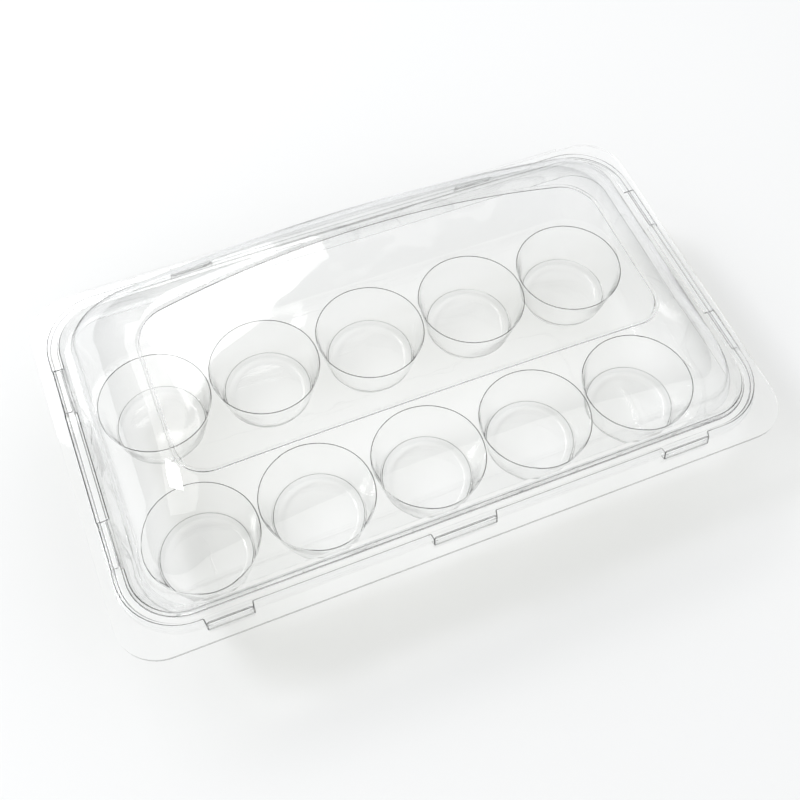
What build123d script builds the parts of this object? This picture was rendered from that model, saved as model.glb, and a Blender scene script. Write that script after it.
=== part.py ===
"""Clear thermoformed egg box: a ten-cup tray with a domed lid on a living hinge.

All sizes are millimetres. Z points up, X runs along the two rows of cups and
the hinge is at the back, on the +Y side. The origin is under the middle of the
box, on the surface that it stands on. The lid is modelled closed.
"""

import os
from math import radians, sin

from build123d import *

# ---------------------------------------------------------------- driving sizes
sheet = 0.8                     # thickness of the formed sheet

# cups
cups_in_row = 5
row_spacing = 65.0              # centre line of one row to the other
cup_mouth_radius = 23.0         # inside the mouth
cup_gap = 0.4                   # deck between two neighbouring cups of a row
cup_floor_radius = 17.9         # inside, at the floor
cup_depth = 23.5                # deck top above the table
cup_floor_fillet = 4.4          # rounded edge between wall and floor, outside

# tray deck and wall
deck_margin_x = 1.4             # deck past the last cup of a row
deck_margin_y = 2.2             # deck past the side of a cup
deck_corner = 22.0              # corner radius of the deck
well_depth = 20.5               # deck top to the top of the tray flange

# rim: a flange all round with a raised bead that snaps the two halves together
wall_spread_x = 3.15            # an end wall of the tray flares out by this from deck to bead
wall_spread_y = 10.85           # and a front or back wall by this
bead_corner = 25.0              # outside, at the foot of the lid's bead
bead_height = 5.3               # lid bead top above the tray flange
bead_band = 7.6                 # width of the lid bead at its foot
bead_draft = 1.1                # each bead wall leans in by this over its height
bead_clearance = 0.35           # lid bead to tray bead
flange_side = 3.7               # flange past the bead at the two ends
flange_front = 6.2              # flange past the bead at the front
flange_corner = 17.0

# living hinge
hinge_radius = 0.5              # thin bead of sheet that flexes
hinge_gap = 0.3                 # flange edge to hinge bead
hinge_end = 24.0                # the hinge stops this far from each end of the flange

# lid
gutter_width = 2.2              # flat between the bead and the dome
dome_corner_gain = 6.0          # the dome's corners get rounder by this on the way up
shoulder_width = 24.0           # the wall curves in by this, up to the flat top
panel_margin_x = 1.0            # flat top past each end of the embossed panel
panel_margin_y = 6.5            # and past its front and back edges, at its two ends
panel_bow = 4.5                 # its front and back edges bow out by this
panel_corner = 13.0
panel_end_rise = 32.8           # panel above the flange, at its two ends
crown_rise = 43.2               # panel above the flange, half way along
dome_steps = 6                  # outlines that the dome is lofted through, up to the panel's ends

# snap lugs on the lid's bead, each as its centre along the side and its length
lug_depth = 1.6                 # how far a front or back lug stands out
lug_height = 4.2
lug_round = 0.7
pad_width = 3.2                 # the end lugs are pads on top of the bead
pad_height = 0.7
front_lugs = [(-95.0, 18.0), (-5.0, 26.0), (88.0, 20.0)]
back_lugs = [(-64.0, 18.0), (66.0, 18.0)]
end_lugs = [(33.0, 22.0), (-36.0, 21.0)]

# ---------------------------------------------------------------- derived sizes
cup_outer_mouth = cup_mouth_radius + sheet
cup_pitch = 2 * cup_outer_mouth + cup_gap
cup_span = (cups_in_row - 1) * cup_pitch
cup_outer_floor = cup_floor_radius + sheet
deck_top = cup_depth
deck_length = cup_span + 2 * (cup_outer_mouth + deck_margin_x)
deck_width = row_spacing + 2 * (cup_outer_mouth + deck_margin_y)

tray_bead_out = sheet + bead_clearance
tray_bead_in = bead_band - tray_bead_out
bead_length = deck_length + 2 * (wall_spread_x + tray_bead_in)
bead_width = deck_width + 2 * (wall_spread_y + tray_bead_in)
dome_inset = bead_band + gutter_width
dome_length = bead_length - 2 * dome_inset
dome_width = bead_width - 2 * dome_inset
panel_length = dome_length - 2 * (shoulder_width + panel_margin_x)
panel_width = dome_width - 2 * (shoulder_width + panel_margin_y)

flange_z = deck_top + well_depth
flange_length = bead_length + 2 * flange_side
flange_front_y = -(bead_width / 2 + flange_front)
hinge_y = -flange_front_y - hinge_radius
flange_back_y = hinge_y - hinge_radius - hinge_gap
flange_width = flange_back_y - flange_front_y
flange_middle_y = (flange_back_y + flange_front_y) / 2

bead_top = flange_z + bead_height
tray_bead_top = bead_top - sheet - bead_clearance
tray_bead_draft = bead_draft * (tray_bead_top - flange_z) / bead_height

os.makedirs("parts", exist_ok=True)


# ---------------------------------------------------------------- helpers
def outline(length, width, corner, height, middle_y=0.0):
    """A flat rounded rectangle at a height: a plate or a loft section."""
    flat = RectangleRounded(length, width, corner, mode=Mode.PRIVATE)
    return Plane.XY.offset(height) * Pos(0, middle_y) * flat


def rim_outline(inset, height):
    """The foot of the lid's bead, brought in by an inset."""
    return outline(bead_length - 2 * inset, bead_width - 2 * inset, bead_corner - inset, height)


def block(*sections):
    """A solid through flat outlines, from the lowest up."""
    return loft(sections=list(sections), ruled=True, mode=Mode.PRIVATE)


def ring(low, high, outer_low, outer_high, inner_low, inner_high):
    """A wall round the rim between two heights, from its insets at foot and head."""
    outer = block(rim_outline(outer_low, low), rim_outline(outer_high, high))
    inner = block(rim_outline(inner_low, low), rim_outline(inner_high, high))
    return outer - inner


def bead_walls(top, out_inset, in_inset, draft):
    """The two leaning walls and the flat band of a bead that stands on the flange."""
    under = top - sheet
    lean = draft * (under - flange_z) / (top - flange_z)
    outer = ring(flange_z, top, out_inset, out_inset + draft,
                 out_inset + sheet, out_inset + sheet + draft)
    band = ring(under, top, out_inset + lean, out_inset + draft,
                in_inset - lean, in_inset - draft)
    inner = ring(flange_z, top, in_inset - sheet, in_inset - sheet - draft,
                 in_inset, in_inset - draft)
    return outer + band + inner


def save(builder, name):
    """Labels a finished piece and writes its file."""
    builder.part.label = name
    export_step(builder.part, "parts/" + name + ".step")


# ---------------------------------------------------------------- cups
def make_cup(name, x, y):
    """One tapered cup: a thin wall and a flat floor with a rounded edge."""
    with BuildPart() as cup:
        with Locations((x, y, cup_depth / 2)):
            Cone(cup_outer_floor, cup_outer_mouth, cup_depth)
        fillet(cup.edges().sort_by(Axis.Z)[0], cup_floor_fillet)
        space = Pos(x, y, (cup_depth + sheet) / 2) * Cone(
            cup_floor_radius, cup_mouth_radius, cup_depth - sheet, mode=Mode.PRIVATE)
        floor_edge = space.edges().sort_by(Axis.Z)[0]
        add(space.fillet(cup_floor_fillet - sheet, [floor_edge]), mode=Mode.SUBTRACT)
    save(cup, name)


cup_places = []
for row, cup_y in (("front", -row_spacing / 2), ("back", row_spacing / 2)):
    for number in range(cups_in_row):
        cup_x = number * cup_pitch - cup_span / 2
        cup_places.append((cup_x, cup_y, cup_depth / 2))
        make_cup("cup_" + row + "_" + str(number + 1), cup_x, cup_y)

# ---------------------------------------------------------------- tray
with BuildPart() as tray_deck:
    with BuildSketch(Plane.XY.offset(deck_top - sheet)):
        RectangleRounded(deck_length, deck_width, deck_corner)
    extrude(amount=sheet)
    with Locations(*cup_places):
        Cone(cup_outer_floor, cup_outer_mouth, cup_depth, mode=Mode.SUBTRACT)
save(tray_deck, "tray_deck")

deck_under = deck_top - sheet
wall_outside = block(
    outline(deck_length + 2 * sheet, deck_width + 2 * sheet, deck_corner + sheet, deck_under),
    rim_outline(tray_bead_in - sheet, flange_z))
wall_inside = block(
    outline(deck_length, deck_width, deck_corner, deck_under),
    rim_outline(tray_bead_in, flange_z))
with BuildPart() as tray_wall:
    add(wall_outside)
    add(wall_inside, mode=Mode.SUBTRACT)
save(tray_wall, "tray_wall")

tray_bead_solid = bead_walls(tray_bead_top, tray_bead_out, tray_bead_in, tray_bead_draft)
with BuildPart() as tray_bead:
    add(tray_bead_solid)
save(tray_bead, "tray_bead")

with BuildPart() as tray_flange:
    with BuildSketch(Plane.XY.offset(flange_z - sheet)):
        with Locations((0, flange_middle_y)):
            RectangleRounded(flange_length, flange_width, flange_corner)
        RectangleRounded(bead_length - 2 * tray_bead_out, bead_width - 2 * tray_bead_out,
                         bead_corner - tray_bead_out, mode=Mode.SUBTRACT)
    extrude(amount=sheet)
save(tray_flange, "tray_flange")

with BuildPart() as living_hinge:
    with Locations(Pos(0, hinge_y, flange_z) * Rot(0, 90, 0)):
        Cylinder(hinge_radius, flange_length - 2 * hinge_end)
save(living_hinge, "living_hinge")

# ---------------------------------------------------------------- lid rim
with BuildPart() as lid_flange:
    with BuildSketch(Plane.XY.offset(flange_z)):
        with Locations((0, flange_middle_y)):
            RectangleRounded(flange_length, flange_width, flange_corner)
        RectangleRounded(bead_length, bead_width, bead_corner, mode=Mode.SUBTRACT)
    extrude(amount=sheet)
save(lid_flange, "lid_flange")

lid_bead_solid = bead_walls(bead_top, 0, bead_band, bead_draft)
with BuildPart() as lid_bead:
    add(lid_bead_solid)
save(lid_bead, "lid_bead")

gutter_solid = ring(flange_z, flange_z + sheet, bead_band, bead_band, dome_inset, dome_inset)
with BuildPart() as lid_gutter:
    add(gutter_solid)
save(lid_gutter, "lid_gutter")


# ---------------------------------------------------------------- lid dome and panel
def lean(rise, full_rise):
    """How far an elliptic shoulder has curved in at a rise."""
    part = min(rise / full_rise, 1.0)
    return shoulder_width * (1 - (1 - part ** 2) ** 0.5)


def dome_solid(inset):
    """The dome as a filled block, brought in and down by an inset.

    The end walls reach the top at the panel's ends, and the front and back
    walls reach it at the higher crown.
    """
    corner = bead_corner - dome_inset
    rises = [panel_end_rise * sin(radians(90 * step / dome_steps)) for step in range(dome_steps + 1)]
    rises += [(panel_end_rise + crown_rise) / 2, crown_rise]
    sections = []
    for rise in rises:
        part = rise / crown_rise
        drop = inset if rise > 0 else 0
        sections.append(outline(
            dome_length - 2 * lean(rise, panel_end_rise) - 2 * inset,
            dome_width - 2 * lean(rise, crown_rise) - 2 * inset,
            corner + part * dome_corner_gain - inset,
            flange_z + rise - drop))
    sections.append(outline(
        dome_length - 2 * shoulder_width - 2 * inset,
        dome_width - 2 * shoulder_width - 2 * inset,
        corner + dome_corner_gain - inset, flange_z + crown_rise + sheet))
    return block(*sections) & crown_solid(inset)


def crown_solid(inset):
    """Everything under the lid's arched crown, brought down by an inset."""
    half = bead_length / 2
    sagitta = crown_rise - panel_end_rise
    crown_radius = ((panel_length / 2) ** 2 + sagitta ** 2) / (2 * sagitta)
    end_drop = crown_radius - (crown_radius ** 2 - half ** 2) ** 0.5
    crown_z = flange_z + crown_rise - inset
    with BuildPart() as crown:
        with BuildSketch(Plane.XZ):
            with BuildLine():
                Polyline((half, crown_z - end_drop), (half, flange_z), (-half, flange_z),
                         (-half, crown_z - end_drop))
                ThreePointArc((half, crown_z - end_drop), (0, crown_z), (-half, crown_z - end_drop))
            make_face()
        extrude(amount=bead_width, both=True)
    return crown.part


dome_shell = dome_solid(0) - dome_solid(sheet)

with BuildSketch(Plane.XY.offset(flange_z + panel_end_rise / 2)) as panel_plan:
    with BuildLine():
        end_x = panel_length / 2
        side_y = panel_width / 2
        Line((end_x, -side_y), (end_x, side_y))
        ThreePointArc((end_x, side_y), (0, side_y + panel_bow), (-end_x, side_y))
        Line((-end_x, side_y), (-end_x, -side_y))
        ThreePointArc((-end_x, -side_y), (0, -side_y - panel_bow), (end_x, -side_y))
    make_face()
    fillet(panel_plan.vertices(), panel_corner)
panel_column = extrude(panel_plan.sketch, amount=crown_rise, mode=Mode.PRIVATE)

with BuildPart() as lid_dome:
    add(dome_shell - panel_column)
save(lid_dome, "lid_dome")

with BuildPart() as lid_panel:
    add(dome_shell & panel_column)
save(lid_panel, "lid_panel")

# ---------------------------------------------------------------- snap lugs
bead_body = block(rim_outline(0, flange_z), rim_outline(bead_draft, bead_top))


def make_lugs(name, lugs, side):
    """Lugs on the front (side -1) or back (side 1) wall of the lid's bead."""
    deep = lug_depth + 2 * bead_draft
    middle_y = side * (bead_width / 2 + lug_depth - deep / 2)
    with BuildPart() as group:
        for middle_x, length in lugs:
            with Locations((middle_x, middle_y, flange_z + sheet + lug_height / 2)):
                Box(length, deep, lug_height)
        face_edges = group.edges().filter_by(Axis.Z).sort_by(Axis.Y)
        fillet(face_edges[:2 * len(lugs)] if side < 0 else face_edges[-2 * len(lugs):], lug_round)
        add(bead_body, mode=Mode.SUBTRACT)
    save(group, name)


def make_pads(name, side):
    """Pads on top of the lid's bead at the left (side -1) or right (side 1) end."""
    middle_x = side * (bead_length / 2 - bead_band / 2)
    with BuildPart() as group:
        for middle_y, length in end_lugs:
            with Locations((middle_x, middle_y, bead_top + pad_height / 2)):
                Box(pad_width, length, pad_height)
        fillet(group.edges().filter_by(Axis.Z), lug_round)
    save(group, name)


make_lugs("lid_front_lugs", front_lugs, -1)
make_lugs("lid_back_lugs", back_lugs, 1)
make_pads("lid_left_lugs", -1)
make_pads("lid_right_lugs", 1)
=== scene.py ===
"""Looks for a clear ten-egg box: a formed tray, its ten cups and a hinged dome lid."""

import math

import bmesh
import bpy
from mathutils import Matrix, Vector


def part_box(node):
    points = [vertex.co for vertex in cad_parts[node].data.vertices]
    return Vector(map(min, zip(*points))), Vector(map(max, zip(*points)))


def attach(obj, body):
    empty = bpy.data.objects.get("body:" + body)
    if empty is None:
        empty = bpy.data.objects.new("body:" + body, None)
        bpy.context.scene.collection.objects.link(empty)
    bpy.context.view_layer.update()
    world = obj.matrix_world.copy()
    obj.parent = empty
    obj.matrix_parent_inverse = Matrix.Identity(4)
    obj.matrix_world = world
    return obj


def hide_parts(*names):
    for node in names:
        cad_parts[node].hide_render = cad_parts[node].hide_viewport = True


bl_info = {
    "name": "Clear Egg Box",
    "version": (1, 0, 0),
    "blender": (4, 5, 0),
    "location": "3D View > Sidebar > Egg Box",
    "description": "Forms a clear ten-cup egg tray and its domed lid",
    "category": "Add Mesh",
}

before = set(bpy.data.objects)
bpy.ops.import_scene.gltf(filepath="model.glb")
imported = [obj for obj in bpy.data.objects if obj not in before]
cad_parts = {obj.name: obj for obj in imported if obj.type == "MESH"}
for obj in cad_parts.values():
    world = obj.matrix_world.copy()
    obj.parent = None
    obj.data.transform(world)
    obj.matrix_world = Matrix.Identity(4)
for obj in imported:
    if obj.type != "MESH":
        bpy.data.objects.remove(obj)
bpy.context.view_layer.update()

MM = 0.001
CORNER_STEPS = 12        # segments round each corner of an outline
LONG_CUTS = 36           # cuts along the front and back, none close to the end of a lug
CUP_STEPS = 96           # faces round a cup
FLOOR_STEPS = 8          # faces over the rounding between a cup's wall and floor
FOLD_STEPS = 3           # faces over the rounding of a fold
SMOOTH_ANGLE = math.radians(40)
FOLD_ANGLE = math.radians(50)     # folds sharper than this are rounded
LIFT = 0.02 * MM         # keeps two outlines that follow each other off one level
WELD = 0.001 * MM        # corners closer than this are one
CUP_CLEARANCE = 0.03 * MM         # between a cup's mouth and its hole in the deck
GROOVE_STEP = 0.5 * MM   # width of each side, and of the floor, of the panel's groove
ROWS = ("front", "back")
CUPS_IN_ROW = 5

# lugs on the front and back of the bead, and pads on top of its ends
LUG_EDGE = 0.45 * MM     # sloping edge left round a lug
LUG_REACH = 2.1 * MM     # how far a lug stands out
LUG_DROP = 0.25 * MM     # how far a lug sits below the middle of the bead's wall
PAD_EDGE = 0.8 * MM
PAD_RISE = 1.2 * MM
PAD_REACH = 0.4 * MM
DISH_EDGE = 0.7 * MM     # rim left round the dish in a lug's or pad's face
DISH_SHARE = 0.5         # depth of the dish as a share of how far the lug or pad stands out
LUG_SPACING = 30 * MM    # lugs on one side are further apart than this
WALL_SLACK = 0.2 * MM    # how far behind the bead's wall a face may lie and still count as it
LEVEL_SLACK = 0.05 * MM  # how far off the top of the bead a face may lie and still count as it

# the room
FLOOR_SIZE = 6.0
FLOOR_MOTTLE = 0.985     # brightness of the darker patches
HORIZON_COLOR = (0.22, 0.23, 0.24)
HORIZON_HEIGHT = 0.05    # below this the room is as dark as its horizon
OVERHEAD_HEIGHT = 0.7    # above this the room is white
SENSOR_WIDTH = 36.0
CLIP_START = 0.01
WINDOW = {"place": (-0.17, 0.78, 0.96), "target": (-0.05, 0.0, 0.05), "size": (0.60, 0.27)}
KEY = {"place": (-1.30, 0.75, 1.6), "target": (0.0, 0.0, 0.0), "size": (1.7, 0.7)}
LAMP = {"place": (-1.25, 0.72, 1.54), "target": (0.0, 0.0, 0.0), "size": (0.35, 0.3)}

# light that passes through the sheet to the table and the cups
FLAT_PASSING = (1.04, 1.04, 1.04)     # a flat stretch gathers a little light
WALL_PASSING = (0.1, 0.1, 0.0)        # a steep wall bends most of it away
EDGE_POWER = 4.0                      # how close to edge on the sheet starts to grey
PAINTED_SHADE_STOPS = ((0.25, 0.0), (0.55, 0.3), (0.97, 0.3))    # painted shade round the foot of each cup: share of its height, grey


# ------------------------------------------------------------------ sizes from the frame
def half_size(node):
    """Half of a node's length and width."""
    low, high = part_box(node)
    return (high - low) / 2


def middle(node):
    """The middle of a node's box."""
    low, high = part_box(node)
    return (high + low) / 2


CAD_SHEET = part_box("tray_flange")[1].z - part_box("tray_flange")[0].z
TRAY_RIM_Z = middle("tray_flange").z
LID_RIM_Z = middle("lid_flange").z
DECK_Z = middle("tray_deck").z


# ------------------------------------------------------------------ settings
class SheetSettings(bpy.types.PropertyGroup):
    """The formed plastic that both halves are made of."""
    thickness: bpy.props.FloatProperty(
        name="Thickness", description="Thickness of the formed sheet",
        default=0.35 * MM, min=0.1 * MM, unit="LENGTH", precision=5)
    fold_round: bpy.props.FloatProperty(
        name="Fold Rounding", description="Distance over which a fold in the sheet turns",
        default=0.45 * MM, min=0.0, unit="LENGTH", precision=5)
    tray_color: bpy.props.FloatVectorProperty(
        name="Tray Color", description="Tint of the tray where it is seen face on",
        default=(0.998, 1.0, 0.999), size=3, min=0.0, max=1.0, subtype="COLOR")
    lid_color: bpy.props.FloatVectorProperty(
        name="Lid Color", description="Tint of the lid where it is seen face on",
        default=(0.999, 1.0, 1.0), size=3, min=0.0, max=1.0, subtype="COLOR")
    edge_color: bpy.props.FloatVectorProperty(
        name="Edge Color", description="Tint of the sheet where it is seen edge on",
        default=(0.72, 0.735, 0.765), size=3, min=0.0, max=1.0, subtype="COLOR")
    cup_edge_color: bpy.props.FloatVectorProperty(
        name="Cup Edge Color", description="Tint of the cups where they are seen edge on",
        default=(0.80, 0.81, 0.81), size=3, min=0.0, max=1.0, subtype="COLOR")
    index: bpy.props.FloatProperty(
        name="Refractive Index", description="How much the plastic bends light",
        default=1.5, min=1.0, max=2.0)


class TraySettings(bpy.types.PropertyGroup):
    """The lower half, with its cups."""
    mouth_radius: bpy.props.FloatProperty(
        name="Cup Mouth Radius", description="Middle of the sheet at a cup's mouth",
        default=half_size("cup_front_1").x - CAD_SHEET / 2, unit="LENGTH", precision=5)
    floor_radius: bpy.props.FloatProperty(
        name="Cup Floor Radius", description="Middle of the sheet where wall and floor would meet",
        default=18.3 * MM, unit="LENGTH", precision=5)
    floor_round: bpy.props.FloatProperty(
        name="Cup Floor Rounding", description="Radius between a cup's wall and its floor",
        default=3.6 * MM, unit="LENGTH", precision=5)
    ledge: bpy.props.FloatProperty(
        name="Cup Ledge", description="Width of the fine ledge round the foot of a cup's wall",
        default=0.45 * MM, unit="LENGTH", precision=5)
    ledge_height: bpy.props.FloatProperty(
        name="Cup Ledge Height", description="Height of the ledge above the cup's floor",
        default=4.1 * MM, unit="LENGTH", precision=5)
    deck_corner: bpy.props.FloatProperty(
        name="Deck Corner", description="Corner radius of the deck that holds the cups",
        default=22.4 * MM, unit="LENGTH", precision=5)
    bead_gap: bpy.props.FloatProperty(
        name="Bead Gap", description="How far the tray's bead stands inside the lid's bead",
        default=1.15 * MM, unit="LENGTH", precision=5)


class LidSettings(bpy.types.PropertyGroup):
    """The domed upper half."""
    bead_band: bpy.props.FloatProperty(
        name="Bead Width", description="Width of the raised bead at its foot",
        default=7.6 * MM, unit="LENGTH", precision=5)
    bead_draft: bpy.props.FloatProperty(
        name="Bead Draft", description="How far each wall of the bead leans in",
        default=1.1 * MM, unit="LENGTH", precision=5)
    bead_corner: bpy.props.FloatProperty(
        name="Bead Corner", description="Corner radius at the foot of the bead",
        default=25.0 * MM, unit="LENGTH", precision=5)
    flange_corner: bpy.props.FloatProperty(
        name="Flange Corner", description="Corner radius of the flange",
        default=17.0 * MM, unit="LENGTH", precision=5)
    gutter: bpy.props.FloatProperty(
        name="Gutter", description="Flat between the bead and the dome",
        default=2.2 * MM, unit="LENGTH", precision=5)
    shoulder: bpy.props.FloatProperty(
        name="Shoulder", description="Distance over which the dome's wall curves in",
        default=24.0 * MM, unit="LENGTH", precision=5)
    shoulder_steps: bpy.props.IntProperty(
        name="Shoulder Steps", description="Outlines up the dome's shoulder",
        default=10, min=3, max=24)
    corner_gain: bpy.props.FloatProperty(
        name="Corner Gain", description="How much rounder the dome's corners get on the way up",
        default=6.0 * MM, unit="LENGTH", precision=5)
    end_rise: bpy.props.FloatProperty(
        name="End Rise", description="Height of the top above the rim at the panel's ends",
        default=32.8 * MM, unit="LENGTH", precision=5)
    panel_corner: bpy.props.FloatProperty(
        name="Panel Corner", description="Corner radius of the embossed panel",
        default=13.0 * MM, unit="LENGTH", precision=5)
    panel_bow: bpy.props.FloatProperty(
        name="Panel Bow", description="How far the panel's front and back edges bow out",
        default=4.5 * MM, unit="LENGTH", precision=5)
    groove_depth: bpy.props.FloatProperty(
        name="Groove Depth", description="Depth of the fine groove round the panel",
        default=0.75 * MM, unit="LENGTH", precision=5)


class StageSettings(bpy.types.PropertyGroup):
    """Floor, lights and camera."""
    floor_color: bpy.props.FloatVectorProperty(
        name="Floor Color", description="Colour of the pale floor",
        default=(0.895, 0.902, 0.905), size=3, min=0.0, max=1.0, subtype="COLOR")
    key_power: bpy.props.FloatProperty(
        name="Key Power", description="Power of the softbox past the back left corner",
        default=4.5, min=0.0, unit="POWER")
    lamp_power: bpy.props.FloatProperty(
        name="Lamp Power", description="Power of the small lamp that draws the shadows",
        default=8.0, min=0.0, unit="POWER")
    window_power: bpy.props.FloatProperty(
        name="Window Power", description="Power of the wide softbox behind the box",
        default=1.35, min=0.0, unit="POWER")
    sky_light: bpy.props.FloatProperty(
        name="Room Light", description="Brightness of the white room",
        default=0.98, min=0.0)
    azimuth: bpy.props.FloatProperty(
        name="Camera Azimuth", description="Camera direction round the box",
        default=math.radians(-24.2), subtype="ANGLE")
    elevation: bpy.props.FloatProperty(
        name="Camera Elevation", description="Camera height over the box as an angle",
        default=math.radians(59.48), subtype="ANGLE")
    roll: bpy.props.FloatProperty(
        name="Camera Roll", description="Camera tilt about its line of sight",
        default=math.radians(2.275), subtype="ANGLE")
    distance: bpy.props.FloatProperty(
        name="Camera Distance", description="Camera to the middle of the deck",
        default=453.6 * MM, unit="LENGTH")
    lens: bpy.props.FloatProperty(
        name="Focal Length", description="Focal length of the lens in millimetres",
        default=48.98, min=1.0)


# ------------------------------------------------------------------ modelling helpers
def select_only(*pieces):
    """Selects these objects and makes the last one active."""
    bpy.ops.object.select_all(action="DESELECT")
    for piece in pieces:
        piece.select_set(True)
    bpy.context.view_layer.objects.active = pieces[-1]


def pick_edges(piece, wanted):
    """In edit mode, selects only the edges that pass a test."""
    bpy.ops.mesh.select_mode(type="EDGE")
    bpy.ops.mesh.select_all(action="DESELECT")
    mesh = bmesh.from_edit_mesh(piece.data)
    for edge in mesh.edges:
        if wanted(edge):
            edge.select_set(True)
    bmesh.update_edit_mesh(piece.data)


def pick_faces(piece, wanted):
    """In edit mode, selects only the faces that pass a test, and says how many."""
    bpy.ops.mesh.select_mode(type="FACE")
    bpy.ops.mesh.select_all(action="DESELECT")
    mesh = bmesh.from_edit_mesh(piece.data)
    found = 0
    for face in mesh.faces:
        if wanted(face):
            face.select_set(True)
            found += 1
    bmesh.update_edit_mesh(piece.data)
    return found


def add_outline(half_x, half_y, corner, height, middle_y=0.0):
    """Adds a level loop of edges in the shape of a rounded rectangle."""
    bpy.ops.object.select_all(action="DESELECT")
    bpy.ops.mesh.primitive_plane_add(size=2.0, location=(0.0, middle_y, height))
    outline = bpy.context.object
    outline.scale = (half_x, half_y, 1.0)
    bpy.ops.object.transform_apply(location=True, rotation=True, scale=True)
    bpy.ops.object.mode_set(mode="EDIT")
    bpy.ops.mesh.select_all(action="SELECT")
    bpy.ops.mesh.bevel(offset=corner, segments=CORNER_STEPS, affect="VERTICES")
    bpy.ops.mesh.delete(type="ONLY_FACE")
    pick_edges(outline, lambda edge: edge.calc_length() > half_x)
    bpy.ops.mesh.subdivide(number_cuts=LONG_CUTS)
    bpy.ops.object.mode_set(mode="OBJECT")
    return outline


def bridge(sheet, outline):
    """Joins the next outline to the sheet and closes the band up to it."""
    loop = len(outline.data.vertices)
    select_only(outline, sheet)
    bpy.ops.object.join()
    first = len(sheet.data.vertices) - 2 * loop
    bpy.ops.object.mode_set(mode="EDIT")
    pick_edges(sheet, lambda edge: min(end.index for end in edge.verts) >= first)
    bpy.ops.mesh.bridge_edge_loops()
    bpy.ops.object.mode_set(mode="OBJECT")


def loft(outlines):
    """One open sheet through a row of outlines."""
    sheet = outlines[0]
    for outline in outlines[1:]:
        bridge(sheet, outline)
    return sheet


def apply_modifier(piece, kind, **settings):
    """Adds a modifier to a piece and applies it."""
    select_only(piece)
    modifier = piece.modifiers.new(kind.title(), kind)
    for name, value in settings.items():
        setattr(modifier, name, value)
    bpy.ops.object.modifier_apply(modifier=modifier.name)


def finish_sheet(piece, rounded=True):
    """Rounds the folds of an open sheet, gives it its thickness and smooths it."""
    sheet = bpy.context.scene.egg_box_sheet
    select_only(piece)
    bpy.ops.object.mode_set(mode="EDIT")
    bpy.ops.mesh.select_all(action="SELECT")
    bpy.ops.mesh.remove_doubles(threshold=WELD)
    bpy.ops.mesh.normals_make_consistent(inside=False)
    bpy.ops.object.mode_set(mode="OBJECT")
    if rounded:
        apply_modifier(piece, "BEVEL", width=sheet.fold_round, segments=FOLD_STEPS,
                       limit_method="ANGLE", angle_limit=FOLD_ANGLE)
    apply_modifier(piece, "SOLIDIFY", thickness=sheet.thickness, offset=0.0,
                   use_even_offset=True, use_rim=True)
    bpy.ops.object.shade_smooth_by_angle(angle=SMOOTH_ANGLE)
    apply_modifier(piece, "WEIGHTED_NORMAL", keep_sharp=True)


def place_piece(piece, name, body, material, nodes):
    """Names a finished piece and hangs it on its body in place of its nodes."""
    piece.name = name
    piece.data.name = name
    piece.data.materials.clear()
    piece.data.materials.append(material)
    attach(piece, body)
    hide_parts(*nodes)


# ------------------------------------------------------------------ finishes
def add_math(nodes, operation, *constants):
    """A math node whose inputs after the first hold these constants."""
    math_node = nodes.new("ShaderNodeMath")
    math_node.operation = operation
    for socket, constant in zip(math_node.inputs[1:], constants):
        socket.default_value = constant
    return math_node


def add_color_mix(nodes, first, second):
    """A node that mixes two plain colours."""
    mix = nodes.new("ShaderNodeMix")
    mix.data_type = "RGBA"
    mix.inputs["A"].default_value = (*first, 1.0)
    mix.inputs["B"].default_value = (*second, 1.0)
    return mix


def formed_sheet_group():
    """A node group with the faint waves and haze of a formed plastic sheet."""
    group = bpy.data.node_groups.get("Formed Sheet")
    if group:
        return group
    group = bpy.data.node_groups.new("Formed Sheet", "ShaderNodeTree")
    sockets = group.interface
    sockets.new_socket("Vector", in_out="INPUT", socket_type="NodeSocketVector")
    sockets.new_socket("Wave Scale", in_out="INPUT", socket_type="NodeSocketFloat")
    sockets.new_socket("Haze", in_out="INPUT", socket_type="NodeSocketFloat")
    sockets.new_socket("Height", in_out="OUTPUT", socket_type="NodeSocketFloat")
    sockets.new_socket("Roughness", in_out="OUTPUT", socket_type="NodeSocketFloat")
    add, link = group.nodes.new, group.links.new
    inlet = add("NodeGroupInput")
    outlet = add("NodeGroupOutput")
    waves = add("ShaderNodeTexNoise")
    waves.inputs["Detail"].default_value = 1.5
    waves.inputs["Roughness"].default_value = 0.35
    link(inlet.outputs["Vector"], waves.inputs["Vector"])
    link(inlet.outputs["Wave Scale"], waves.inputs["Scale"])
    link(waves.outputs["Fac"], outlet.inputs["Height"])
    smears = add("ShaderNodeTexNoise")
    smears.inputs["Scale"].default_value = 60.0
    smears.inputs["Detail"].default_value = 3.0
    link(inlet.outputs["Vector"], smears.inputs["Vector"])
    haze = add_math(group.nodes, "MULTIPLY")
    link(smears.outputs["Fac"], haze.inputs[0])
    link(inlet.outputs["Haze"], haze.inputs[1])
    link(haze.outputs["Value"], outlet.inputs["Roughness"])
    return group


def add_waves(material, plastic, place, wave_scale, wave_depth, haze):
    """The faint waves and haze that forming leaves in the sheet."""
    nodes = material.node_tree.nodes
    link = material.node_tree.links.new
    formed = nodes.new("ShaderNodeGroup")
    formed.node_tree = formed_sheet_group()
    formed.inputs["Wave Scale"].default_value = wave_scale
    formed.inputs["Haze"].default_value = haze
    bump = nodes.new("ShaderNodeBump")
    bump.inputs["Strength"].default_value = 1.0
    bump.inputs["Distance"].default_value = wave_depth
    link(place.outputs["Object"], formed.inputs["Vector"])
    link(formed.outputs["Roughness"], plastic.inputs["Roughness"])
    link(formed.outputs["Height"], bump.inputs["Height"])
    link(bump.outputs["Normal"], plastic.inputs["Normal"])


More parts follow.
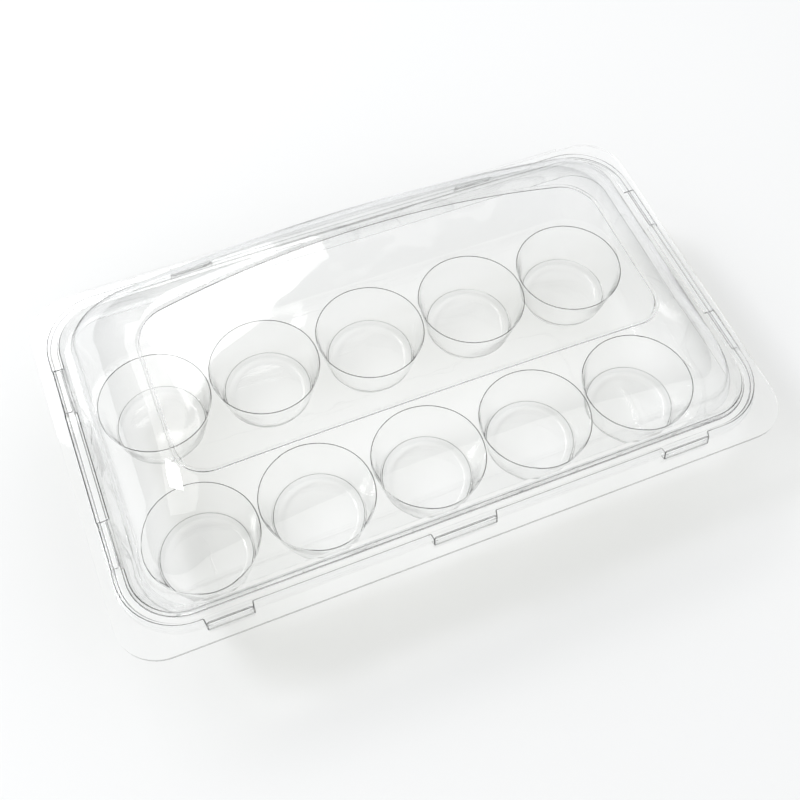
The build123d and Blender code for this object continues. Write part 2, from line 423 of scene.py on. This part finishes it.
def add_tint(material, plastic, place, color, edge_color, painted_shade_height):
    """The sheet's colour: greyer edge on, and painted shade in a grey band low down, round the
    foot of each cup.
    """
    nodes = material.node_tree.nodes
    link = material.node_tree.links.new
    facing = nodes.new("ShaderNodeLayerWeight")
    facing.inputs["Blend"].default_value = 0.5
    edge_on = add_math(nodes, "POWER", EDGE_POWER)
    parts = nodes.new("ShaderNodeSeparateXYZ")
    height = add_math(nodes, "DIVIDE", painted_shade_height)
    # painted shade: a grey band low down on the sheet, round the foot of each cup, stands in for
    # the shade there
    painted_shade = nodes.new("ShaderNodeValToRGB")
    painted_shade.color_ramp.interpolation = "EASE"
    painted_shade.color_ramp.elements[-1].color = painted_shade.color_ramp.elements[0].color
    for position, grey in PAINTED_SHADE_STOPS:
        stop = painted_shade.color_ramp.elements.new(position)
        stop.color = (grey, grey, grey, 1.0)
    greyer = add_math(nodes, "MAXIMUM")
    tint = add_color_mix(nodes, color, edge_color)
    link(facing.outputs["Facing"], edge_on.inputs[0])
    link(place.outputs["Object"], parts.inputs["Vector"])
    link(parts.outputs["Z"], height.inputs[0])
    link(height.outputs["Value"], painted_shade.inputs["Fac"])
    link(edge_on.outputs["Value"], greyer.inputs[0])
    link(painted_shade.outputs["Color"], greyer.inputs[1])
    link(greyer.outputs["Value"], tint.inputs["Factor"])
    link(tint.outputs["Result"], plastic.inputs["Base Color"])


def add_passing_light(material, plastic, wall_shade):
    """Lets lamp light through flat stretches, and less of it through steep walls."""
    nodes = material.node_tree.nodes
    link = material.node_tree.links.new
    surface = nodes.new("ShaderNodeNewGeometry")
    parts = nodes.new("ShaderNodeSeparateXYZ")
    level = add_math(nodes, "ABSOLUTE")
    wall = add_math(nodes, "MULTIPLY_ADD", -wall_shade, wall_shade)
    shade = add_color_mix(nodes, FLAT_PASSING, WALL_PASSING)
    through = nodes.new("ShaderNodeBsdfTransparent")
    rays = nodes.new("ShaderNodeLightPath")
    either = add_math(nodes, "MAXIMUM")
    passing = nodes.new("ShaderNodeMixShader")
    link(surface.outputs["True Normal"], parts.inputs["Vector"])
    link(parts.outputs["Z"], level.inputs[0])
    link(level.outputs["Value"], wall.inputs[0])
    link(wall.outputs["Value"], shade.inputs["Factor"])
    link(shade.outputs["Result"], through.inputs["Color"])
    link(rays.outputs["Is Shadow Ray"], either.inputs[0])
    link(rays.outputs["Is Diffuse Ray"], either.inputs[1])
    link(either.outputs["Value"], passing.inputs["Fac"])
    link(plastic.outputs["BSDF"], passing.inputs[1])
    link(through.outputs["BSDF"], passing.inputs[2])
    link(passing.outputs["Shader"], nodes["Material Output"].inputs["Surface"])


def clear_plastic(name, color, edge_color, wave_scale, wave_depth, haze, painted_shade_height,
                  wall_shade):
    """Clear glossy plastic, made once for each name."""
    made = bpy.data.materials.get(name)
    if made:
        return made
    material = bpy.data.materials.new(name)
    material.use_nodes = True
    plastic = material.node_tree.nodes["Principled BSDF"]
    plastic.inputs["IOR"].default_value = bpy.context.scene.egg_box_sheet.index
    plastic.inputs["Transmission Weight"].default_value = 1.0
    place = material.node_tree.nodes.new("ShaderNodeTexCoord")
    add_waves(material, plastic, place, wave_scale, wave_depth, haze)
    add_tint(material, plastic, place, color, edge_color, painted_shade_height)
    add_passing_light(material, plastic, wall_shade)
    return material


def tray_material():
    """The tray's plastic."""
    sheet = bpy.context.scene.egg_box_sheet
    return clear_plastic(
        "Tray Sheet", sheet.tray_color, sheet.edge_color, wave_scale=45.0,
        wave_depth=0.5 * MM, haze=0.04, painted_shade_height=4.6 * MM, wall_shade=0.6)


def cup_material():
    """The cups' plastic, stretched thinner than the rest of the tray."""
    sheet = bpy.context.scene.egg_box_sheet
    return clear_plastic(
        "Cup Sheet", sheet.tray_color, sheet.cup_edge_color, wave_scale=45.0,
        wave_depth=0.5 * MM, haze=0.04, painted_shade_height=4.6 * MM, wall_shade=0.1)


def lid_material():
    """The lid's plastic."""
    sheet = bpy.context.scene.egg_box_sheet
    return clear_plastic(
        "Lid Sheet", sheet.lid_color, sheet.edge_color, wave_scale=22.0,
        wave_depth=0.6 * MM, haze=0.03, painted_shade_height=1.0 * MM, wall_shade=0.3)


# ------------------------------------------------------------------ outlines of the rim
def rim_outline(inset, height):
    """The foot of the lid's bead, brought in by an inset."""
    half = half_size("lid_bead")
    corner = bpy.context.scene.egg_box_lid.bead_corner
    return add_outline(half.x - inset, half.y - inset, corner - inset, height)


def flange_outline(node, height):
    """The outer edge of a flange."""
    half = half_size(node)
    corner = bpy.context.scene.egg_box_lid.flange_corner
    return add_outline(half.x, half.y, corner, height, middle(node).y)


def bead_outlines(outer, inner, foot, top):
    """The four outlines of a bead: foot, top, top and foot again."""
    draft = bpy.context.scene.egg_box_lid.bead_draft
    return [
        rim_outline(outer, foot + LIFT),
        rim_outline(outer + draft, top),
        rim_outline(inner - draft, top - LIFT),
        rim_outline(inner, foot),
    ]


def cup_places():
    """Each cup's node name with the middle of its box."""
    names = [f"cup_{row}_{number + 1}" for row in ROWS for number in range(CUPS_IN_ROW)]
    return [(name, middle(name)) for name in names]


# ------------------------------------------------------------------ pieces
class EGGBOX_OT_cups(bpy.types.Operator):
    """Turn one cup and copy it to its ten places"""
    bl_idname = "egg_box.cups"
    bl_label = "Form Cups"
    bl_options = {"REGISTER", "UNDO"}

    def execute(self, context):
        tray = context.scene.egg_box_tray
        low = CAD_SHEET / 2
        rise = DECK_Z + context.scene.egg_box_sheet.thickness / 2 - low
        flare = (tray.mouth_radius - tray.floor_radius) * rise / (DECK_Z - low)
        turn = math.atan2(rise, flare)
        bpy.ops.object.select_all(action="DESELECT")
        bpy.ops.mesh.primitive_plane_add(size=MM, location=(0.0, 0.0, low))
        cup = context.object
        bpy.ops.object.transform_apply(location=True)
        bpy.ops.object.mode_set(mode="EDIT")
        bpy.ops.mesh.select_all(action="SELECT")
        bpy.ops.mesh.merge(type="CENTER")
        share = tray.ledge_height / rise
        ledge_rise = tray.ledge / 3
        for along, up in (
            (tray.floor_radius - tray.ledge, 0.0),
            (flare * share, rise * share),
            (tray.ledge, ledge_rise),
            (flare * (1 - share), rise * (1 - share) - ledge_rise),
        ):
            bpy.ops.mesh.extrude_region_move(TRANSFORM_OT_translate={"value": (along, 0.0, up)})
        bpy.ops.mesh.select_mode(type="VERT")
        bpy.ops.mesh.select_all(action="DESELECT")
        mesh = bmesh.from_edit_mesh(cup.data)
        for vertex in mesh.verts:
            if len(vertex.link_edges) == 2 and vertex.co.z < low + tray.ledge:
                vertex.select_set(True)
        bmesh.update_edit_mesh(cup.data)
        bpy.ops.mesh.bevel(offset=tray.floor_round * math.tan(turn / 2), segments=FLOOR_STEPS,
                           affect="VERTICES")
        bpy.ops.mesh.select_all(action="SELECT")
        bpy.ops.mesh.spin(steps=CUP_STEPS, angle=math.tau, center=(0.0, 0.0, 0.0),
                          axis=(0.0, 0.0, 1.0))
        bpy.ops.object.mode_set(mode="OBJECT")
        finish_sheet(cup, rounded=False)
        for name, centre in cup_places():
            select_only(cup)
            bpy.ops.object.duplicate(linked=False)
            copy = context.object
            copy.location = (centre.x, centre.y, 0.0)
            bpy.ops.object.transform_apply(location=True)
            place_piece(copy, name + "_formed", "tray", cup_material(), [name])
        bpy.data.objects.remove(cup)
        return {"FINISHED"}


class EGGBOX_OT_tray(bpy.types.Operator):
    """Form the tray's flange, bead, wall and deck as one sheet"""
    bl_idname = "egg_box.tray"
    bl_label = "Form Tray"
    bl_options = {"REGISTER", "UNDO"}

    def execute(self, context):
        tray = context.scene.egg_box_tray
        thickness = context.scene.egg_box_sheet.thickness
        band = context.scene.egg_box_lid.bead_band
        outer = tray.bead_gap + CAD_SHEET / 2
        inner = band - tray.bead_gap - CAD_SHEET / 2
        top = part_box("tray_bead")[1].z - CAD_SHEET / 2
        deck = half_size("tray_deck")
        outlines = [flange_outline("tray_flange", TRAY_RIM_Z)]
        outlines += bead_outlines(outer, inner, TRAY_RIM_Z, top)
        outlines.append(add_outline(deck.x + CAD_SHEET / 2, deck.y + CAD_SHEET / 2,
                                    tray.deck_corner, DECK_Z))
        sheet = loft(outlines)
        loop = len(sheet.data.vertices) // len(outlines)
        first = len(sheet.data.vertices) - loop
        hole = tray.mouth_radius + thickness / 2 + CUP_CLEARANCE
        bpy.ops.object.mode_set(mode="EDIT")
        for _, centre in cup_places():
            bpy.ops.mesh.primitive_circle_add(vertices=CUP_STEPS, radius=hole,
                                              location=(centre.x, centre.y, DECK_Z))
        pick_edges(sheet, lambda edge: min(end.index for end in edge.verts) >= first)
        bpy.ops.mesh.fill(use_beauty=True)
        bpy.ops.object.mode_set(mode="OBJECT")
        finish_sheet(sheet)
        place_piece(sheet, "tray_sheet", "tray", tray_material(),
                    ["tray_deck", "tray_wall", "tray_bead", "tray_flange"])
        return {"FINISHED"}


class EGGBOX_OT_hinge(bpy.types.Operator):
    """Give the living hinge the finish of the sheet that it is part of"""
    bl_idname = "egg_box.hinge"
    bl_label = "Finish Hinge"
    bl_options = {"REGISTER", "UNDO"}

    def execute(self, context):
        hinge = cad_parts["living_hinge"]
        for slot in hinge.material_slots:
            slot.material = tray_material()
        return {"FINISHED"}


class EGGBOX_OT_lid(bpy.types.Operator):
    """Form the lid's flange, bead, dome and embossed panel as one sheet"""
    bl_idname = "egg_box.lid"
    bl_label = "Form Lid"
    bl_options = {"REGISTER", "UNDO"}

    def raise_to_arch(self, outline, share, lift=0.0):
        """Raises a level outline to a share of the arched height of the dome."""
        lid = bpy.context.scene.egg_box_lid
        half_panel = half_size("lid_panel").x
        crown_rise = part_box("lid_panel")[1].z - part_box("lid_flange")[0].z
        for vertex in outline.data.vertices:
            fall = (vertex.co.x / half_panel) ** 2 * (crown_rise - lid.end_rise)
            vertex.co.z += share * (crown_rise - fall - CAD_SHEET) + lift
        return outline

    def dome_outlines(self):
        """Outlines from the foot of the dome up to the end of its shoulder."""
        lid = bpy.context.scene.egg_box_lid
        half = half_size("lid_bead")
        foot = lid.bead_band + lid.gutter + CAD_SHEET / 2
        outlines = []
        for step in range(lid.shoulder_steps + 1):
            turn = math.pi / 2 * step / lid.shoulder_steps
            inset = foot + lid.shoulder * (1 - math.cos(turn))
            corner = lid.bead_corner - foot + lid.corner_gain * math.sin(turn)
            outline = add_outline(half.x - inset, half.y - inset, corner, LID_RIM_Z)
            outlines.append(self.raise_to_arch(outline, math.sin(turn), LIFT))
        return outlines

    def panel_outlines(self):
        """Outlines across the fine groove that is pressed round the panel."""
        lid = bpy.context.scene.egg_box_lid
        low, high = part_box("lid_panel")
        half_x = (high.x - low.x) / 2
        half_y = (high.y - low.y) / 2 - lid.panel_bow
        outlines = []
        for step, lift in enumerate((0.0, -lid.groove_depth, -lid.groove_depth, 0.0)):
            inset = step * GROOVE_STEP
            outline = add_outline(half_x - inset, half_y - inset, lid.panel_corner - inset,
                                  LID_RIM_Z)
            for vertex in outline.data.vertices:
                bow = lid.panel_bow * (1 - (vertex.co.x / half_x) ** 2)
                vertex.co.y += math.copysign(bow, vertex.co.y)
            outlines.append(self.raise_to_arch(outline, 1.0, lift))
        return outlines

    def close_top(self, sheet, loop):
        """Closes the arched top with strips that run from front to back."""
        last = sheet.data.vertices[-loop:]
        sides = []
        for side in (-1, 1):
            along = sorted((vertex.co.x, vertex.index)
                           for vertex in last if vertex.co.y * side > 0)
            sides.append([index for _, index in along])
        bpy.ops.object.mode_set(mode="EDIT")
        for strip in range(loop // 2 - 1):
            ends = [set(side[strip:strip + 2]) for side in sides]
            pick_edges(sheet, lambda edge: {end.index for end in edge.verts} in ends)
            bpy.ops.mesh.edge_face_add()
        bpy.ops.object.mode_set(mode="OBJECT")

    def press(self, sheet, on_wall, axis, ends, thickness, push):
        """Presses a lug out of the faces of one wall between two cuts, then dishes its face."""
        bpy.ops.object.mode_set(mode="EDIT")
        for end in ends:
            pick_faces(sheet, on_wall)
            bpy.ops.mesh.bisect(plane_co=tuple(end * part for part in axis), plane_no=axis)
        low, high = ends
        along = Vector(axis)

        def on_lug(face):
            return on_wall(face) and low < face.calc_center_median().dot(along) < high

        if not pick_faces(sheet, on_lug):
            raise RuntimeError("no wall was found for a lug")
        bpy.ops.mesh.inset(thickness=thickness)
        bpy.ops.transform.translate(value=push)
        bpy.ops.mesh.inset(thickness=DISH_EDGE)
        bpy.ops.transform.translate(value=[-DISH_SHARE * part for part in push])
        bpy.ops.object.mode_set(mode="OBJECT")

    def press_lugs(self, sheet):
        """The snap lugs on the front, back and ends of the bead."""
        lid = bpy.context.scene.egg_box_lid
        half = half_size("lid_bead")
        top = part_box("lid_bead")[1].z - CAD_SHEET / 2
        for node, side in (("lid_front_lugs", -1), ("lid_back_lugs", 1)):
            def on_wall(face, side=side):
                centre = face.calc_center_median()
                upright = abs(face.normal.z) < 0.5 and abs(face.normal.x) < 0.1
                return (upright and centre.y * side > half.y - lid.bead_draft - WALL_SLACK
                        and LID_RIM_Z < centre.z < top)
            for ends in lug_spans(node, 0):
                self.press(sheet, on_wall, (1.0, 0.0, 0.0), ends, LUG_EDGE,
                           (0.0, side * LUG_REACH, -LUG_DROP))
        for node, side in (("lid_left_lugs", -1), ("lid_right_lugs", 1)):
            def on_band(face, side=side):
                centre = face.calc_center_median()
                level = abs(face.normal.z) > 0.9 and abs(centre.z - top) < LEVEL_SLACK
                return level and centre.x * side > half.x - lid.bead_band
            for ends in lug_spans(node, 1):
                self.press(sheet, on_band, (0.0, 1.0, 0.0), ends, PAD_EDGE,
                           (side * PAD_REACH, 0.0, PAD_RISE))

    def execute(self, context):
        lid = context.scene.egg_box_lid
        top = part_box("lid_bead")[1].z - CAD_SHEET / 2
        outer = CAD_SHEET / 2
        outlines = [flange_outline("lid_flange", LID_RIM_Z)]
        outlines += bead_outlines(outer, lid.bead_band - outer, LID_RIM_Z, top)
        outlines += self.dome_outlines()
        outlines += self.panel_outlines()
        sheet = loft(outlines)
        self.close_top(sheet, len(sheet.data.vertices) // len(outlines))
        self.press_lugs(sheet)
        finish_sheet(sheet)
        place_piece(sheet, "lid_sheet", "lid", lid_material(),
                    ["lid_flange", "lid_bead", "lid_gutter", "lid_dome", "lid_panel",
                     "lid_front_lugs", "lid_back_lugs", "lid_left_lugs", "lid_right_lugs"])
        return {"FINISHED"}


def lug_spans(node, axis):
    """Where each lug of a node begins and ends along an axis."""
    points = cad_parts[node].data.vertices
    values = sorted({round(point.co[axis], 5) for point in points})
    spans = [[values[0], values[0]]]
    for value in values[1:]:
        if value - spans[-1][1] > LUG_SPACING:
            spans.append([value, value])
        spans[-1][1] = value
    return spans


# ------------------------------------------------------------------ stage
class EGGBOX_OT_stage(bpy.types.Operator):
    """Set the floor, the lights and the camera"""
    bl_idname = "egg_box.stage"
    bl_label = "Set Stage"
    bl_options = {"REGISTER", "UNDO"}

    def add_floor(self, color):
        """A wide pale floor with a barely mottled matt finish."""
        bpy.ops.object.select_all(action="DESELECT")
        bpy.ops.mesh.primitive_plane_add(size=FLOOR_SIZE)
        floor = bpy.context.object
        floor.name = "floor"
        material = bpy.data.materials.new("Floor")
        material.use_nodes = True
        nodes = material.node_tree.nodes
        link = material.node_tree.links.new
        matt = nodes["Principled BSDF"]
        matt.inputs["Roughness"].default_value = 0.9
        matt.inputs["Specular IOR Level"].default_value = 0.2
        place = nodes.new("ShaderNodeTexCoord")
        mottle = nodes.new("ShaderNodeTexNoise")
        mottle.inputs["Scale"].default_value = 3.0
        link(place.outputs["Object"], mottle.inputs["Vector"])
        tint = add_color_mix(nodes, color, [part * FLOOR_MOTTLE for part in color])
        link(mottle.outputs["Fac"], tint.inputs["Factor"])
        link(tint.outputs["Result"], matt.inputs["Base Color"])
        floor.data.materials.append(material)

    def add_softbox(self, name, power, place, target, size):
        """A rectangular area lamp that faces a point."""
        lamp = bpy.data.lights.new(name, "AREA")
        lamp.shape = "RECTANGLE"
        lamp.size, lamp.size_y = size
        lamp.energy = power
        holder = bpy.data.objects.new(name, lamp)
        holder.location = place
        aim = Vector(target) - Vector(place)
        holder.rotation_euler = aim.to_track_quat("-Z", "Y").to_euler()
        bpy.context.scene.collection.objects.link(holder)

    def light_room(self, strength):
        """A white room, brighter overhead than at the horizon."""
        world = bpy.data.worlds.new("Room")
        world.use_nodes = True
        nodes = world.node_tree.nodes
        link = world.node_tree.links.new
        place = nodes.new("ShaderNodeTexCoord")
        split = nodes.new("ShaderNodeSeparateXYZ")
        ramp = nodes.new("ShaderNodeValToRGB")
        link(place.outputs["Generated"], split.inputs["Vector"])
        link(split.outputs["Z"], ramp.inputs["Fac"])
        horizon, overhead = ramp.color_ramp.elements
        horizon.color = (*HORIZON_COLOR, 1.0)
        horizon.position = HORIZON_HEIGHT
        overhead.color = (1.0, 1.0, 1.0, 1.0)
        overhead.position = OVERHEAD_HEIGHT
        link(ramp.outputs["Color"], nodes["Background"].inputs["Color"])
        nodes["Background"].inputs["Strength"].default_value = strength
        bpy.context.scene.world = world

    def add_camera(self, stage):
        """The camera, aimed at the middle of the deck."""
        camera = bpy.data.cameras.new("camera")
        camera.sensor_width = SENSOR_WIDTH
        camera.lens = stage.lens
        camera.clip_start = CLIP_START
        holder = bpy.data.objects.new("camera", camera)
        away = Vector((math.sin(stage.azimuth) * math.cos(stage.elevation),
                       -math.cos(stage.azimuth) * math.cos(stage.elevation),
                       math.sin(stage.elevation)))
        target = Vector((-1.0 * MM, -4.2 * MM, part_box("tray_deck")[1].z))
        holder.location = target + away * stage.distance
        level = (-away).to_track_quat("-Z", "Y").to_matrix()
        holder.matrix_world = (Matrix.Translation(holder.location)
                               @ (level @ Matrix.Rotation(stage.roll, 3, "Z")).to_4x4())
        bpy.context.scene.collection.objects.link(holder)
        bpy.context.scene.camera = holder

    def execute(self, context):
        stage = context.scene.egg_box_stage
        self.add_floor(stage.floor_color)
        self.light_room(stage.sky_light)
        self.add_softbox("window", stage.window_power, **WINDOW)
        self.add_softbox("key", stage.key_power, **KEY)
        self.add_softbox("lamp", stage.lamp_power, **LAMP)
        self.add_camera(stage)
        context.scene.view_settings.view_transform = "Standard"
        return {"FINISHED"}


# ------------------------------------------------------------------ panel and registration
class EGGBOX_PT_panel(bpy.types.Panel):
    """Egg box steps in the order that they are run"""
    bl_label = "Egg Box"
    bl_idname = "EGGBOX_PT_panel"
    bl_space_type = "VIEW_3D"
    bl_region_type = "UI"
    bl_category = "Egg Box"

    def draw(self, context):
        for operator in OPERATORS:
            self.layout.operator(operator.bl_idname)


SETTINGS = {
    "egg_box_sheet": SheetSettings,
    "egg_box_tray": TraySettings,
    "egg_box_lid": LidSettings,
    "egg_box_stage": StageSettings,
}
OPERATORS = (EGGBOX_OT_cups, EGGBOX_OT_tray, EGGBOX_OT_hinge, EGGBOX_OT_lid, EGGBOX_OT_stage)


def register():
    for name, settings in SETTINGS.items():
        bpy.utils.register_class(settings)
        setattr(bpy.types.Scene, name, bpy.props.PointerProperty(type=settings))
    for operator in OPERATORS:
        bpy.utils.register_class(operator)
    bpy.utils.register_class(EGGBOX_PT_panel)


def unregister():
    bpy.utils.unregister_class(EGGBOX_PT_panel)
    for operator in reversed(OPERATORS):
        bpy.utils.unregister_class(operator)
    for name, settings in SETTINGS.items():
        delattr(bpy.types.Scene, name)
        bpy.utils.unregister_class(settings)


def main():
    register()
    bpy.ops.egg_box.cups()
    bpy.ops.egg_box.tray()
    bpy.ops.egg_box.hinge()
    bpy.ops.egg_box.lid()
    bpy.ops.egg_box.stage()


if __name__ == "__main__":
    main()
